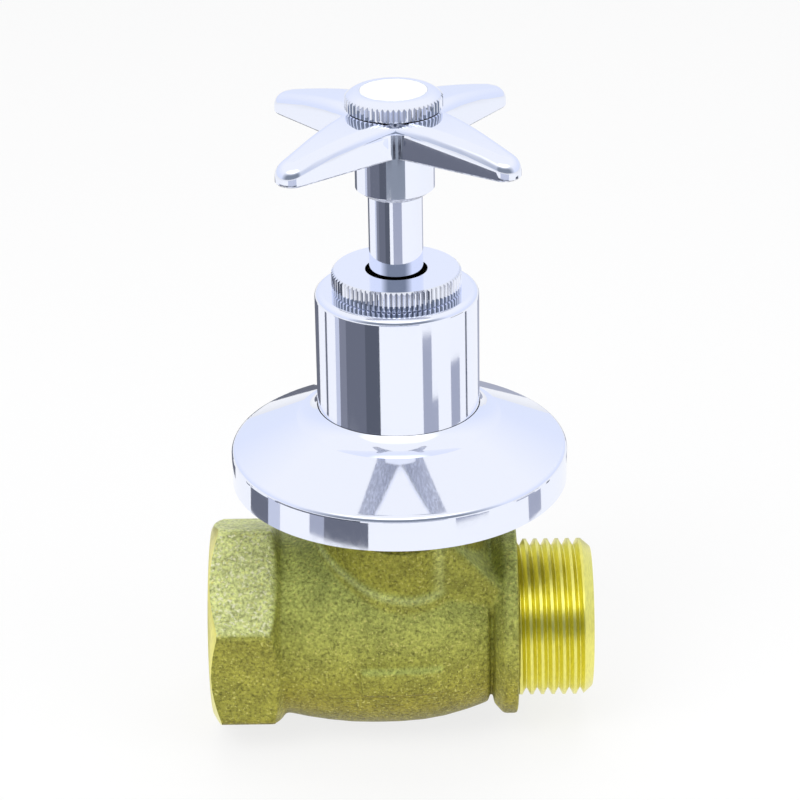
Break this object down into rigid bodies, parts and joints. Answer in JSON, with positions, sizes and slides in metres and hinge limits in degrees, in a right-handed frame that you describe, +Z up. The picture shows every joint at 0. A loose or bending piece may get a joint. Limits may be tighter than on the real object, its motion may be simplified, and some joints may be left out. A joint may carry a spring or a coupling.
{
  "type": "concealed stop valve",
  "caption": "Concealed globe stop valve with female inlet, male outlet, wall flange, sleeve, long spindle and cross handle with a plain index disc.",
  "frame": {"origin": "where the inlet's female thread begins, on the pipe's axis, one mouth chamfer inside the inlet's face", "axes": "+X along the flow, out of the outlet; -X out of the inlet; +Z up along the spindle, towards the handle; -Y is the side that the camera sees"},
  "size_m": [0.064, 0.0554, 0.1135],
  "materials": {
    "cast_brass": "sand cast, dull",
    "machined_brass": "turned, satin",
    "chrome": "bright plated",
    "white_plastic": "gloss",
    "black_rubber": "moulded",
    "fibre": "pressed sheet",
    "packing": "moulded",
    "steel": "zinc plated"
  },
  "bodies": {
    "valve": {"valve_body": "cast_brass", "bonnet": "machined_brass", "bonnet_gasket": "fibre", "packing_ring_1": "packing", "packing_ring_2": "packing", "gland_nut": "machined_brass", "extension_nipple": "machined_brass", "cover_sleeve": "chrome", "lock_ring": "chrome", "wall_flange": "chrome", "flange_grip_ring": "black_rubber"},
    "jumper": {"jumper": "machined_brass", "seat_washer": "black_rubber", "retaining_washer": "machined_brass", "jumper_nut": "machined_brass"},
    "spindle": {"spindle": "machined_brass", "spindle_extension": "chrome", "handle": "chrome", "handle_washer": "steel", "handle_screw": "steel", "index_cap": "chrome", "index_disc": "white_plastic"}
  },
  "joints": [
    {"name": "jumper_lift", "type": "slide", "parent": "valve", "child": "jumper", "axis": [0, 0, 1], "range_m": [0, 0.006]},
    {"name": "handle_turn", "type": "hinge", "parent": "jumper", "child": "spindle", "pos_m": [0.031, 0, 0.07], "axis": [0, 0, 1], "range_deg": [0, 1080]}
  ],
  "couplings": [
    {"joint": "jumper_lift", "follows": "handle_turn", "m_per_rad": 0.000318}
  ]
}
